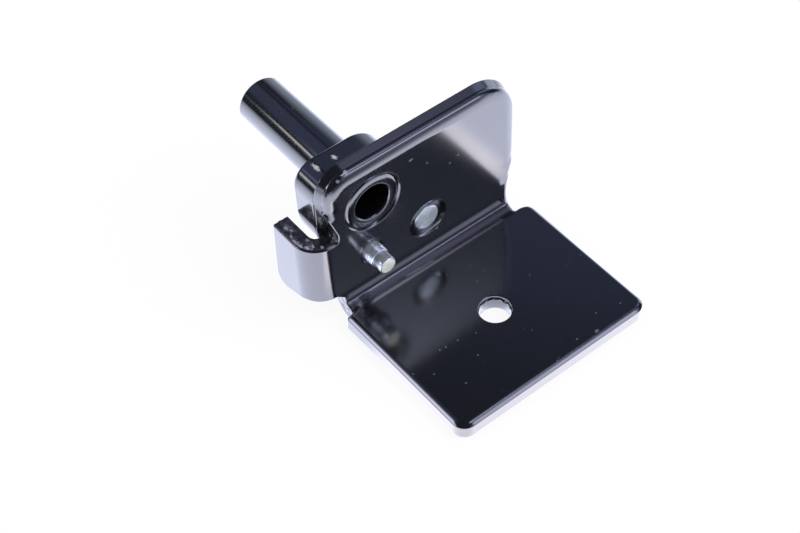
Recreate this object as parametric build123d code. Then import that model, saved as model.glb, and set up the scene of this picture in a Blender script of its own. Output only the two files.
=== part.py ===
from build123d import *
import os
from math import cos, radians, tan

# Fridge door hinge: one folded steel bracket carries a hollow hinge pin whose lip is spread into it,
# a thick backing block behind the upright flange, a flush rivet and a small locating stud.
# Drawing datum: x from the base plate's left side, y from the flange's front face, z from the
# underside. The finished pieces are then moved so that the screw hole's centre on the underside
# is the origin.

# Sheet
sheet = 3.0
bend_inside_radius = 1.0
edge_roll = 0.8

# Base plate
plate_width = 41.0
plate_depth = 32.4
plate_front_corner = 2.4
plate_rear_left_corner = 1.2
screw_hole_diameter = 5.8
screw_from_left = 20.3
screw_from_face = 16.7
screw_hole_roll = 0.35

# Bend between plate and flange, shorter than both at each end
bend_left_relief = 1.45
bend_right_relief = 2.9

# Upright flange
flange_height = 33.7
flange_left_overhang = 0.9
flange_right_setback = 1.45
flange_left_corner = 5.0
flange_right_corner = 8.2
neck_start_height = 17.0
neck_turn_height = 10.5
neck_turn_setback = 2.5

# Hook, curled back from the flange's left side
hook_top = 19.4
hook_bottom = 6.5
hook_inside_radius = 1.5
hook_bend_overhang = 0.25
hook_length = 10.4
hook_end_lean = 3.2
hook_bottom_slope = 15.4
hook_end_corner = 2.4
hook_end_roll = 1.1
hook_root_right = 1.25
hook_root_height = 5.3
notch_below_top = 6.7
notch_depth = 1.2
notch_corner = 0.8

# Hinge pin, hollow, with a rounded lip spread into the flange's flared hole
pin_diameter = 9.0
pin_bore_diameter = 6.8
pin_seat_diameter = 10.4
pin_seat_proud = 0.15
pin_from_left = 8.4
pin_below_top = 9.55
pin_reach = 31.7
pin_end_chamfer = 0.3
flare_diameter = 11.4
flare_depth = 1.1
lip_crown_width = 0.4
lip_bore_round = 0.35
lip_shoulder_inset = 0.75
lip_shoulder_depth = 0.28
lip_groove_depth = 0.8

# Backing block behind the flange
block_thickness = 6.0
block_below_top = 2.5
block_width = 17.0
block_left_corner = 4.0
block_right_corner = 6.0
block_edge_round = 0.5
block_seam_chamfer = 0.35
block_side_below_pin = 1.65
block_shoulder_below_pin = 0.6
block_waist_left = 1.6
block_waist_height = 13.2
block_foot_left = 4.8
block_foot_height = 7.0
block_foot_corner = 1.5
block_lobe_width = 11.2
block_lobe_corner = 3.4

# Rivet, flush in a recess of the flange
rivet_from_left = 19.5
rivet_height = 12.35
rivet_diameter = 4.9
rivet_recess_diameter = 7.7
rivet_recess_depth = 0.9
rivet_sink = 0.25
rivet_tail_diameter = 7.2
rivet_tail_height = 1.0
rivet_edge_round = 0.25

# Locating stud
stud_from_left = 7.55
stud_height = 12.85
stud_diameter = 3.5
stud_collar_diameter = 3.7
stud_collar_length = 0.9
stud_reach = 4.4
stud_end_diameter = 3.24
stud_end_chamfer = 0.25
stud_groove_depth = 0.16
stud_groove_pitch = 0.36
stud_groove_count = 3
stud_recess_diameter = 4.7
stud_recess_depth = 0.35

# Fit between a shank and its hole, on the radius, and how closely an edge is matched when it is looked up
fit_gap = 0.02
lookup_tolerance = 1e-6

# Places worked out from the sizes above
flange_foot = sheet + bend_inside_radius
flange_left = -flange_left_overhang
flange_right = plate_width - flange_right_setback
bend_left = bend_left_relief
bend_right = plate_width - bend_right_relief
notch_top = flange_height - notch_below_top
hook_centre = (-hook_bend_overhang, sheet + hook_inside_radius)
hook_outside = hook_centre[0] - hook_inside_radius - sheet
hook_inside = hook_centre[0] - hook_inside_radius
block_left = flange_left
block_right = block_left + block_width
block_top = flange_height - block_below_top
pin_height = flange_height - pin_below_top
block_side_height = pin_height - block_side_below_pin
block_shoulder_height = pin_height - block_shoulder_below_pin
block_back = sheet + block_thickness
lobe_right = rivet_from_left + block_lobe_width / 2
neck_middle = min(bend_right, plate_width - neck_turn_setback) - edge_roll
to_frame = Pos(-screw_from_left, screw_from_face, 0)


def nearest(shape, x, y):
    """The vertex of a flat sketch nearest to a point."""
    return shape.vertices().sort_by_distance((x, y, 0))[0]


def upright(sketch, start, depth):
    """A sketch drawn in x and z, thickened along +y from y = start."""
    solid = extrude(Plane.XZ * sketch, amount=depth, dir=(0, 1, 0))
    return Pos(0, start, 0) * solid


def bore_along_y(x, z, diameter, start, end):
    """A round cutter along y between two depths."""
    return Pos(x, (start + end) / 2, z) * Rot(90, 0, 0) * Cylinder(diameter / 2, end - start)


def turned_along_y(profile, x, z):
    """A profile of (radius, y) corners turned round an axis along y."""
    face = make_face(Polyline(*[(r, y) for r, y in profile], close=True))
    return Pos(x, 0, z) * revolve(face, Axis.Y)


def base_plate():
    """The flat plate in front of the bend, with the screw hole and rolled upper edges."""
    rear = -bend_inside_radius
    face = make_face(Polyline(
        (0, rear), (0, -plate_depth), (plate_width, -plate_depth), (plate_width, rear), close=True))
    front = [nearest(face, 0, -plate_depth), nearest(face, plate_width, -plate_depth)]
    face = fillet(front, plate_front_corner)
    face = fillet(nearest(face, plate_width, rear), bend_right_relief)
    face = fillet(nearest(face, 0, rear), plate_rear_left_corner)
    plate = extrude(face, amount=sheet)
    plate = fillet(plate.faces().sort_by(Axis.Z)[-1].edges(), edge_roll)
    heel = Pos(bend_left, rear - edge_roll, 0) * Box(
        bend_right - bend_left, edge_roll, sheet, align=(Align.MIN, Align.MIN, Align.MIN))
    hole = Pos(screw_from_left, -screw_from_face, sheet / 2) * Cylinder(screw_hole_diameter / 2, sheet)
    plate = plate + heel - hole
    mouth = plate.edges().filter_by(GeomType.CIRCLE).filter_by(
        lambda e: abs(e.radius - screw_hole_diameter / 2) < lookup_tolerance
        and abs(e.center().Z - sheet) < lookup_tolerance)
    return fillet(mouth, screw_hole_roll)


def bend():
    """The quarter-round fold that joins plate and flange."""
    centre = (-bend_inside_radius, flange_foot)
    outer = CenterArc(centre, bend_inside_radius + sheet, -90, 90)
    inner = CenterArc(centre, bend_inside_radius, -90, 90)
    section = make_face([outer, inner, Line(inner @ 0, outer @ 0), Line(inner @ 1, outer @ 1)])
    return Pos(bend_left, 0, 0) * extrude(Plane.YZ * section, amount=bend_right - bend_left, dir=(1, 0, 0))


def flange_outline():
    """The flange's outline in x and z, from the bend up and round to the hook's root."""
    neck_turn = (plate_width - neck_turn_setback, neck_turn_height)
    neck = TangentArc((flange_right, neck_start_height), neck_turn, tangent=(0, -1))
    foot = TangentArc(neck_turn, (bend_right, flange_foot), tangent=neck % 1)
    root = -hook_bend_overhang
    straight = Polyline(
        (bend_right, flange_foot), (bend_left, flange_foot), (hook_root_right, hook_root_height),
        (root, hook_bottom), (root, hook_top), (notch_depth, hook_top),
        (notch_depth, hook_top + 2 * notch_corner), (flange_left, notch_top), (flange_left, flange_height),
        (flange_right, flange_height), (flange_right, neck_start_height),
    )
    face = make_face([neck, foot, straight])
    face = fillet(nearest(face, flange_left, flange_height), flange_left_corner)
    face = fillet(nearest(face, flange_right, flange_height), flange_right_corner)
    return fillet(nearest(face, notch_depth, hook_top), notch_corner)


def flange():
    """The upright flange with its front edges rolled over above the notch."""
    solid = upright(flange_outline(), 0, sheet)
    front = solid.faces().sort_by(Axis.Y)[0]
    rolled = [e for e in front.edges() if e.center().Z > notch_top or e.center().X > neck_middle]
    return fillet(rolled, edge_roll)


def hook():
    """The tab curled back from the flange, with a slanted lower edge and a rounded end."""
    lean = tan(radians(hook_end_lean))
    slope = tan(radians(hook_bottom_slope))
    knee = sheet
    end_low = hook_length + hook_top * lean
    tip_low = hook_bottom - (end_low - knee) * slope
    middle = (hook_centre[1] + hook_length) / 2
    outer = CenterArc(hook_centre, hook_inside_radius + sheet, 180, 90)
    inner = CenterArc(hook_centre, hook_inside_radius, 180, 90)
    curl = extrude(make_face([
        outer, inner, Line(outer @ 1, inner @ 1), Line(outer @ 0, (hook_outside, middle)),
        Line((hook_outside, middle), (hook_inside, middle)), Line((hook_inside, middle), inner @ 0),
    ]), amount=hook_top)
    tip = make_face(Polyline(
        (hook_outside, middle), (hook_inside, middle), (hook_inside, end_low), (hook_outside, end_low),
        close=True))
    tip = fillet(nearest(tip, hook_inside, end_low), hook_end_roll)
    tip = extrude(tip, amount=hook_top / cos(radians(hook_end_lean)), dir=(0, -lean, 1))
    side = make_face(Polyline(
        (-sheet, hook_bottom), (knee, hook_bottom), (end_low, tip_low), (end_low, hook_top),
        (-sheet, hook_top), close=True))
    side = fillet(nearest(side, end_low, tip_low), hook_end_corner)
    reach = -hook_bend_overhang - hook_outside
    return (curl + tip) & (Pos(hook_outside, 0, 0) * extrude(Plane.YZ * side, amount=reach, dir=(1, 0, 0)))


def bracket():
    """The whole folded sheet with its holes and recesses."""
    sheet_metal = base_plate() + bend() + flange() + hook()
    before, behind = -sheet, 2 * sheet
    seat = pin_seat_diameter / 2 + fit_gap
    lip = flare_diameter / 2
    flare_hole = turned_along_y(
        [(0, before), (lip + sheet, before), (lip, 0), (seat, flare_depth), (seat, behind), (0, behind)],
        pin_from_left, pin_height)
    rivet_hole = bore_along_y(rivet_from_left, rivet_height, rivet_diameter + 2 * fit_gap, before, behind)
    rivet_recess = bore_along_y(rivet_from_left, rivet_height, rivet_recess_diameter, before, rivet_recess_depth)
    stud_hole = bore_along_y(stud_from_left, stud_height, stud_diameter + 2 * fit_gap, before, behind)
    stud_recess = bore_along_y(stud_from_left, stud_height, stud_recess_diameter, before, stud_recess_depth)
    return sheet_metal - flare_hole - rivet_hole - rivet_recess - stud_hole - stud_recess


def hinge_pin():
    """The hollow pin, with the lip of its front end in the flange and a groove round it."""
    outside = pin_diameter / 2
    seat = pin_seat_diameter / 2
    step = block_back + pin_seat_proud
    inside = pin_bore_diameter / 2
    lip = flare_diameter / 2
    wall = lip - (lip - seat) * lip_groove_depth / flare_depth
    profile = [
        (inside, lip_bore_round), (inside + lip_bore_round / 3, lip_bore_round / 3), (inside + lip_bore_round, 0),
        (inside + lip_crown_width + lip_bore_round, 0), (lip - lip_shoulder_inset, lip_shoulder_depth),
        (wall, lip_groove_depth), (seat, flare_depth), (seat, step), (outside, step),
        (outside, pin_reach - pin_end_chamfer), (outside - pin_end_chamfer, pin_reach),
        (inside + pin_end_chamfer, pin_reach), (inside, pin_reach - pin_end_chamfer),
    ]
    return turned_along_y(profile, pin_from_left, pin_height)


def backing_block():
    """The thick block behind the flange that steadies the pin and takes the rivet and the stud."""
    waist = (block_waist_left, block_waist_height)
    side = TangentArc((block_left, block_side_height), waist, tangent=(0, -1))
    rest = Polyline(
        waist, (block_foot_left, block_foot_height), (lobe_right, block_foot_height),
        (lobe_right, rivet_height), (block_right, block_shoulder_height), (block_right, block_top),
        (block_left, block_top), (block_left, block_side_height),
    )
    face = make_face([side, rest])
    face = fillet(nearest(face, block_left, block_top), block_left_corner)
    face = fillet(nearest(face, block_right, block_top), block_right_corner)
    face = fillet(nearest(face, block_foot_left, block_foot_height), block_foot_corner)
    lobe = [nearest(face, lobe_right, block_foot_height), nearest(face, lobe_right, rivet_height)]
    face = fillet(lobe, block_lobe_corner)
    solid = upright(face, sheet, block_thickness)
    solid = fillet(solid.faces().sort_by(Axis.Y)[-1].edges(), block_edge_round)
    solid = chamfer(solid.faces().sort_by(Axis.Y)[0].edges(), block_seam_chamfer)
    behind = block_back + sheet
    solid -= bore_along_y(pin_from_left, pin_height, pin_seat_diameter + 2 * fit_gap, 0, behind)
    solid -= bore_along_y(rivet_from_left, rivet_height, rivet_diameter + 2 * fit_gap, 0, behind)
    return solid - bore_along_y(stud_from_left, stud_height, stud_diameter + 2 * fit_gap, 0, behind)


def rivet():
    """The rivet, its flush end in front and its formed tail on the block."""
    radius = rivet_diameter / 2
    tail = rivet_tail_diameter / 2
    profile = [
        (0, rivet_sink), (radius - rivet_edge_round, rivet_sink), (radius, rivet_sink + rivet_edge_round),
        (radius, block_back), (tail, block_back), (tail, block_back + rivet_tail_height / 2),
        (tail - rivet_tail_height, block_back + rivet_tail_height), (0, block_back + rivet_tail_height),
    ]
    return turned_along_y(profile, rivet_from_left, rivet_height)


def stud():
    """The locating stud, with ring grooves between its collar and its plain end."""
    radius = stud_diameter / 2
    collar = stud_collar_diameter / 2
    y = -stud_collar_length
    profile = [
        (0, block_back), (radius, block_back), (radius, stud_recess_depth), (collar, stud_recess_depth), (collar, y)]
    for _ in range(stud_groove_count):
        profile.append((radius - stud_groove_depth, y - stud_groove_pitch / 2))
        profile.append((radius, y - stud_groove_pitch))
        y -= stud_groove_pitch
    tip = stud_end_diameter / 2
    profile += [
        (tip, y), (tip, -stud_reach + stud_end_chamfer), (tip - stud_end_chamfer, -stud_reach),
        (0, -stud_reach)]
    return turned_along_y(profile, stud_from_left, stud_height)


def main():
    os.makedirs("parts", exist_ok=True)
    pieces = {
        "bracket": bracket(),
        "backing_block": backing_block(),
        "hinge_pin": hinge_pin(),
        "rivet": rivet(),
        "stud": stud(),
    }
    for name, piece in pieces.items():
        solid = (to_frame * piece).solid()
        solid.label = name
        export_step(solid, f"parts/{name}.step")
        print(name, round(solid.volume, 2), "mm3")


main()
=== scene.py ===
import logging
import math
from dataclasses import dataclass
from enum import Enum
from typing import Callable, Sequence

import bpy
import numpy as np
from mathutils import Matrix, Vector, noise
from mathutils.geometry import delaunay_2d_cdt


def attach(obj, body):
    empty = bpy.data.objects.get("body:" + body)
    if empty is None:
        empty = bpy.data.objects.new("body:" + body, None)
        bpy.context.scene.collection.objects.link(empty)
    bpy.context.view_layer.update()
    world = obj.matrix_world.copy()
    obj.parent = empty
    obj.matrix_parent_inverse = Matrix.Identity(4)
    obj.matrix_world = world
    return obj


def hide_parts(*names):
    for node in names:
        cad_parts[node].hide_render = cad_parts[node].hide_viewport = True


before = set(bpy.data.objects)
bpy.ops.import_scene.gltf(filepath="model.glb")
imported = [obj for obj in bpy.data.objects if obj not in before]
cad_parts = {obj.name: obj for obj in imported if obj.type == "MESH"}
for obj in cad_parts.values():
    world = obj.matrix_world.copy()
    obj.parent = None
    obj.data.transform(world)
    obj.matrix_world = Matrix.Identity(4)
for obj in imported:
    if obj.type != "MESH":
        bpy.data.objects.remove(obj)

# A hinge of folded black steel: bracket, backing block and hollow pin in gloss paint, rivet and stud in zinc.
# Sizes are in millimetres: x from the plate's left side, y from the flange's front, z from the underside.

logging.basicConfig(level=logging.INFO, format="%(message)s")
log = logging.getLogger("hinge")

Array = np.ndarray
Colour = tuple[float, float, float]
Triple = tuple[float, float, float]
Point = tuple[float, float]
Fold = Callable[[Array, Array], tuple[Array, Array]]

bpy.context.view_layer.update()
MM = 0.001
DEGREES = 180 / math.pi

# Centres: the screw hole's on the plate as (x, y), and the pin's, rivet's and stud's on the flange as (x, z)
SCREW = (20.3, -16.7)
PIN = (8.4, 24.15)
RIVET = (19.5, 12.35)
STUD = (7.55, 12.85)

# From the drawing to the frame, whose origin is the screw hole's centre at the underside
SHIFT = np.array([-SCREW[0], -SCREW[1], 0.0])


# Shader tools

def rgba(colour: Colour) -> tuple[float, float, float, float]:
    """A colour with full opacity."""
    return (*colour, 1.0)


class Graph:
    """The node tree of a material or a world, emptied and built anew."""

    def __init__(self, tree: bpy.types.NodeTree) -> None:
        """Empties the tree."""
        self.tree = tree
        tree.nodes.clear()

    def node(self, kind: str, settings: dict | None = None, values: dict | None = None) -> bpy.types.Node:
        """Adds one node.

        Args:
            kind: The node's type.
            settings: Its own properties, set first.
            values: Input name or number to a constant, a Value, or an output socket.

        Returns:
            The new node.
        """
        made = self.tree.nodes.new(kind)
        for name, value in (settings or {}).items():
            setattr(made, name, value)
        for name, value in (values or {}).items():
            source = value.socket if isinstance(value, Value) else value
            if isinstance(source, bpy.types.NodeSocket):
                self.tree.links.new(source, made.inputs[name])
            else:
                made.inputs[name].default_value = source
        return made

    def value(self, kind: str, settings: dict | None = None, values: dict | None = None,
              output: int | str = 0) -> "Value":
        """Adds a node as node() does, and wraps one of its outputs."""
        return Value(self, self.node(kind, settings, values).outputs[output])

    def mix(self, factor: object, low: object, high: object) -> "Value":
        """Mixes two colours, the first one at 0 and the second one at 1."""
        return self.value("ShaderNodeMix", {"data_type": "RGBA"}, {0: factor, 6: low, 7: high}, output=2)

    def mix_shaders(self, factor: object, low: object, high: object) -> "Value":
        """Mixes two shaders, the first one at 0 and the second one at 1."""
        return self.value("ShaderNodeMixShader", values={0: factor, 1: low, 2: high})

    def vector(self, operation: str, *parts: object, output: str = "Vector") -> "Value":
        """A Vector Math node on vectors."""
        return self.value("ShaderNodeVectorMath", {"operation": operation}, dict(enumerate(parts)), output)

    def scaled(self, vector: object, scale: object) -> "Value":
        """A vector or colour times a number."""
        return self.value("ShaderNodeVectorMath", {"operation": "SCALE"}, {0: vector, "Scale": scale})

    def axes(self, vector: "Value") -> list["Value"]:
        """The three numbers of a vector."""
        parts = self.node("ShaderNodeSeparateXYZ", values={0: vector})
        return [Value(self, socket) for socket in parts.outputs]

    def place(self) -> "Value":
        """The place on the object in millimetres."""
        return self.scaled(self.value("ShaderNodeTexCoord", output="Object"), 1.0 / MM)

    def noise(self, place: "Value", scale: float, detail: float, **others: float) -> "Value":
        """Soft noise, with about scale waves to the millimetre."""
        return self.value(
            "ShaderNodeTexNoise", values={"Vector": place, "Scale": scale, "Detail": detail, **others})

    def cells(self, place: "Value", scale: float) -> "Value":
        """The distance to the closest of scattered points."""
        return self.value("ShaderNodeTexVoronoi", values={"Vector": place, "Scale": scale}, output="Distance")

    def bump(self, height: "Value") -> "Value":
        """The normal of a surface with this height in millimetres."""
        return self.value("ShaderNodeBump", values={"Height": height, "Distance": MM, "Strength": 1.0})


class Value:
    """A number, colour, vector or shader that flows through a node tree."""

    def __init__(self, graph: Graph, socket: bpy.types.NodeSocket) -> None:
        """Wraps an output socket."""
        self.graph = graph
        self.socket = socket

    def math(self, operation: str, *others: object) -> "Value":
        """Puts this number and others through one Math node."""
        return self.graph.value("ShaderNodeMath", {"operation": operation}, dict(enumerate((self, *others))))

    def __add__(self, other: object) -> "Value":
        """self + other."""
        return self.math("ADD", other)

    __radd__ = __add__

    def __sub__(self, other: object) -> "Value":
        """self - other."""
        return self.math("SUBTRACT", other)

    def __rsub__(self, other: object) -> "Value":
        """other - self."""
        return self.graph.value("ShaderNodeMath", {"operation": "SUBTRACT"}, {0: other, 1: self})

    def __mul__(self, other: object) -> "Value":
        """self * other."""
        return self.math("MULTIPLY", other)

    __rmul__ = __mul__

    def smooth(self, low: float, high: float, start: float = 0.0, end: float = 1.0) -> "Value":
        """Runs smoothly from start to end as this number goes from low to high."""
        return self.graph.value(
            "ShaderNodeMapRange", {"interpolation_type": "SMOOTHSTEP"},
            {"Value": self, "From Min": low, "From Max": high, "To Min": start, "To Max": end})


def new_material(name: str) -> tuple[bpy.types.Material, Graph]:
    """Makes a material.

    Args:
        name: Its name.

    Returns:
        The material and its empty node tree.
    """
    material = bpy.data.materials.new(name)
    material.use_nodes = True
    return material, Graph(material.node_tree)


# Finishes

@dataclass(frozen=True)
class Mark:
    """A small pale patch at one place on the paint, in drawing millimetres. Most are flakes and scuffs; those
    in the highlight tables are painted highlights.
    """

    place: Triple
    size: Triple
    strength: float = 0.4
    wobble: float = 2.4

    def mask(self, graph: Graph, place: Value, uneven: Value) -> Value:
        """Where the mark shows.

        Args:
            graph: The paint's node tree.
            place: The place on the object.
            uneven: Fine noise about 0, which makes the mark's outline irregular.

        Returns:
            0 away from the mark, and its strength at its middle.
        """
        offset = graph.vector("SUBTRACT", place, tuple(self.place + SHIFT))
        reach = graph.vector("LENGTH", graph.vector("DIVIDE", offset, self.size), output="Value")
        return (reach + uneven * self.wobble).smooth(1.1, 0.5) * self.strength


@dataclass(frozen=True)
class GlossPaint:
    """Black gloss paint with orange peel, dust and marks, rough and scuffed where it covers torn steel. Some
    of its pale marks are painted highlights, and its pale bluish patches on torn steel are partly painted
    sheen.
    """

    name: str = "black gloss paint"
    base: Colour = (0.0022, 0.0022, 0.0034)
    base_ior: float = 2.4
    coat_ior: float = 1.5
    roughness: float = 0.16
    coat_roughness: float = 0.10
    dust_and_highlight_roughness: float = 0.4
    peel_size: float = 1.1
    peel_height: float = 0.0016
    speck_height: float = 0.004
    speck_scale: float = 0.55
    grit_scale: float = 1.6
    patch_scale: float = 0.16
    uneven_scale: float = 4.5
    worn_scale: float = 0.9
    dust: float = 0.3
    dust_and_highlight_colour: Colour = (0.30, 0.31, 0.36)
    torn: float = 0.0
    marks: tuple[Mark, ...] = ()

    def specks(self, graph: Graph, place: Value, uneven: Value) -> Value:
        """Dust on the gloss, in patches.

        Args:
            graph: The paint's node tree.
            place: The place on the object.
            uneven: Fine noise about 0, which makes the specks irregular.

        Returns:
            0 where the paint is clean, and about 1 in the middle of a speck.
        """
        patches = graph.noise(place, self.patch_scale, 3.0)
        specks = (graph.cells(place, self.speck_scale) + uneven * 0.16).smooth(0.10, 0.03)
        grit = (graph.cells(place, self.grit_scale) + uneven * 0.2).smooth(0.11, 0.02)
        return specks * patches.smooth(0.42, 0.62) + grit * patches.smooth(0.5, 0.7) * 0.5

    def material(self) -> bpy.types.Material:
        """Builds the paint's nodes.

        Returns:
            The material.
        """
        material, graph = new_material(self.name)
        place = graph.place()
        uneven = graph.noise(place, self.uneven_scale, 2.0) - 0.5
        specks = self.specks(graph, place, uneven)
        dust_and_highlights = specks * self.dust
        # Pale patches from the marks: flakes and scuffs, and painted highlights where a highlight table is
        # given
        for mark in self.marks:
            dust_and_highlights = dust_and_highlights + mark.mask(graph, place, uneven)
        dust_and_highlights = dust_and_highlights.math("MINIMUM", 1.0)
        colour = graph.mix(dust_and_highlights, rgba(self.base), rgba(self.dust_and_highlight_colour))
        height = graph.noise(place, 1.0 / self.peel_size, 1.5) * self.peel_height + specks * self.speck_height
        if self.torn:
            # Paler bluish patches on torn steel: rough scuffs, partly painted sheen; the same noise also
            # raises the steel's bumps
            scuff_and_sheen = graph.noise(place, self.worn_scale, 5.0, Roughness=0.75, Distortion=0.6)
            colour = graph.mix(scuff_and_sheen.smooth(0.50, 0.78) * self.torn, colour, rgba(self.dust_and_highlight_colour))
            height = height + graph.noise(place, self.worn_scale, 4.0, Roughness=0.6) * self.torn
        shader = graph.value("ShaderNodeBsdfPrincipled", values={
            "Base Color": colour, "Roughness": self.roughness + dust_and_highlights * self.dust_and_highlight_roughness,
            "IOR": self.base_ior, "Coat Weight": 1.0 - dust_and_highlights, "Coat Roughness": self.coat_roughness,
            "Coat IOR": self.coat_ior, "Normal": graph.bump(height)})
        graph.node("ShaderNodeOutputMaterial", values={"Surface": shader})
        return material


@dataclass(frozen=True)
class Zinc:
    """Bright zinc, turned or pressed, with fine scratches and a faint cloudiness."""

    name: str
    base: Colour
    metallic: float
    roughness: float = 0.26
    grain: Triple = (2.0, 6.0, 2.0)
    grain_height: float = 0.004
    cloud_shade: float = 0.8
    cloud_roughness: float = 0.12

    def material(self) -> bpy.types.Material:
        """Builds the zinc's nodes.

        Returns:
            The material.
        """
        material, graph = new_material(self.name)
        place = graph.place()
        grain = graph.noise(graph.vector("MULTIPLY", place, self.grain), 1.0, 4.0, Roughness=0.6)
        cloud = graph.noise(place, 0.9, 2.0)
        shaded = tuple(self.cloud_shade * channel for channel in self.base)
        rough = self.roughness + self.cloud_roughness
        shader = graph.value("ShaderNodeBsdfPrincipled", values={
            "Base Color": graph.mix(cloud.smooth(0.35, 0.7), rgba(self.base), rgba(shaded)),
            "Roughness": cloud.smooth(0.3, 0.7, self.roughness, rough), "Metallic": self.metallic,
            "Normal": graph.bump(grain * self.grain_height)})
        graph.node("ShaderNodeOutputMaterial", values={"Surface": shader})
        return material


PLATE_MARKS = tuple(Mark((u, v, 3.0), (size, 0.7 * size, 0.2)) for u, v, size in (
    (7.64, -17.45, 0.22), (8.8, -17.61, 0.2), (11.27, -17.76, 0.26), (14.51, -18.56, 0.16),
    (1.13, -18.43, 0.16), (3.76, -20.64, 0.2), (6.61, -25.4, 0.2), (11.79, -22.29, 0.18),
    (30.19, -31.18, 0.4), (26.51, -30.29, 0.2), (32.69, -28.26, 0.2), (37.25, -29.27, 0.2)))
FLANGE_MARKS = tuple(Mark((u, 0.0, v), (size, 0.2, 0.7 * size)) for u, v, size in (
    (16.48, 28.48, 0.42), (19.72, 25.63, 0.22), (24.54, 22.42, 0.25), (26.28, 23.16, 0.2),
    (17.69, 9.9, 0.5), (21.4, 8.5, 0.45), (22.1, 10.05, 0.3)))
# Two pale spots on the flange's rounded top left corner: painted highlights
PAINTED_ROLL_HIGHLIGHTS = (Mark((4.27, 0.91, 33.1), (0.4, 0.4, 0.4), 0.8), Mark((2.44, 0.62, 32.5), (0.3, 0.3, 0.3), 0.6))
# Two pale streaks along the block's rounded top left rim, running front to back: painted highlights
PAINTED_BLOCK_HIGHLIGHTS = (
    Mark((2.4, 6.4, 31.15), (0.4, 1.1, 0.4), 0.85), Mark((5.95, 6.3, 31.2), (0.45, 0.6, 0.4), 0.9))
# Pale bluish blotches on the hook's torn top rim: painted highlights
PAINTED_RIM_HIGHLIGHTS = tuple(Mark((u, v, 19.4), (size, 1.5 * size, 0.5), 0.75) for u, v, size in (
    (-3.5, 8.3, 0.3), (-3.2, 7.2, 0.25), (-3.9, 6.2, 0.25), (-4.3, 4.9, 0.45), (-4.0, 3.6, 0.4),
    (-2.4, 3.9, 0.3), (-3.4, 2.5, 0.3), (-2.5, 2.2, 0.25), (-1.4, 1.1, 0.25))) + (
        Mark((-4.3, 4.4, 19.4), (0.8, 2.2, 0.5), 0.35), Mark((-3.3, 2.3, 19.4), (1.1, 0.9, 0.5), 0.3),
        Mark((-3.2, 7.9, 19.4), (0.6, 1.2, 0.5), 0.25))


# Mesh tools

# The turns at which a rounded edge is cut
ANGLES = np.radians([0.0, 6.5, 13.0, 20.0, 27.0, 33.5, 40.0, 43.0, 46.0, 55.0, 64.0, 73.0, 82.0, 90.0])


class Edge(Enum):
    """How a sheared edge rounds over: arcs of (radius, up to degrees), the side's taper, its raggedness."""

    ROLLED = (((0.9, 40.0), (4.8, 46.0), (0.35, 90.0)), 0.0, 0.0)
    WIDE = (((4.0, 27.0), (1.1, 90.0)), 0.476, 0.0)
    TORN = (((0.3, 90.0),), 0.0, 0.08)
    RIM = (((0.4, 90.0),), 0.0, 0.07)
    SHARP = (((0.18, 90.0),), 0.0, 0.0)
    EASED = (((0.22, 43.0), (0.01, 90.0)), 0.0, 0.0)
    NECK = (((1.1, 90.0),), 0.15, 0.0)
    EASY = (((2.4, 27.0), (1.1, 90.0)), 0.3, 0.0)
    SOFT = (((0.9, 90.0),), 0.0, 0.0)

    @property
    def taper(self) -> float:
        """How far the side leans out from its front edge to its back edge."""
        return self.value[1]

    @property
    def ragged(self) -> float:
        """How far the torn side wanders."""
        return self.value[2]

    def profile(self) -> tuple[Array, Array]:
        """The rounded section.

        Returns:
            Distance in from the outline and depth below the face, at each of ANGLES.
        """
        middles = np.degrees((ANGLES[1:] + ANGLES[:-1]) / 2)
        radii = np.array([next(r for r, end in self.value[0] if middle < end) for middle in middles])
        across = radii * np.diff(np.sin(ANGLES))
        down = -radii * np.diff(np.cos(ANGLES))
        inset = self.taper + np.append(np.cumsum(across[::-1])[::-1], 0.0)
        return inset, np.insert(np.cumsum(down), 0, 0.0)


@dataclass(frozen=True)
class Corner:
    """A corner of an outline, its radius, and the kind of edge that leaves it."""

    u: float
    v: float
    radius: float
    edge: Edge


def unit(vectors: Array) -> Array:
    """Vectors at length 1."""
    return vectors / np.maximum(np.linalg.norm(vectors, axis=-1, keepdims=True), 1e-12)


def blended(other: Array, own: Array, crease: float = 40.0) -> Array:
    """The mean of two sets of normals where they are close, and the second one's where they are not."""
    close = (other * own).sum(-1, keepdims=True) > math.cos(math.radians(crease))
    return np.where(close, unit(other + own), own)


def inside(points: Array, outline: Array) -> Array:
    """Which points lie inside a closed outline.

    Args:
        points: Rows of (u, v).
        outline: The outline's points in order.

    Returns:
        True for each point that lies inside.
    """
    x, y = points.T[:, :, None]
    x0, y0 = outline.T[:, None]
    x1, y1 = np.roll(outline, -1, 0).T[:, None]
    crosses = (y0 > y) != (y1 > y)
    rise = np.where(np.abs(y1 - y0) < 1e-12, 1e-12, y1 - y0)
    return (crosses & (x < x0 + (y - y0) * (x1 - x0) / rise)).sum(1) % 2 == 1


def within(points: Array, outlines: Sequence[Array]) -> Array:
    """Which points lie in the material.

    Args:
        points: Rows of (u, v).
        outlines: The outer outline, then the holes'.

    Returns:
        True for each point that lies inside the first outline and outside the others.
    """
    keep = inside(points, outlines[0])
    for outline in outlines[1:]:
        keep &= ~inside(points, outline)
    return keep


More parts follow.
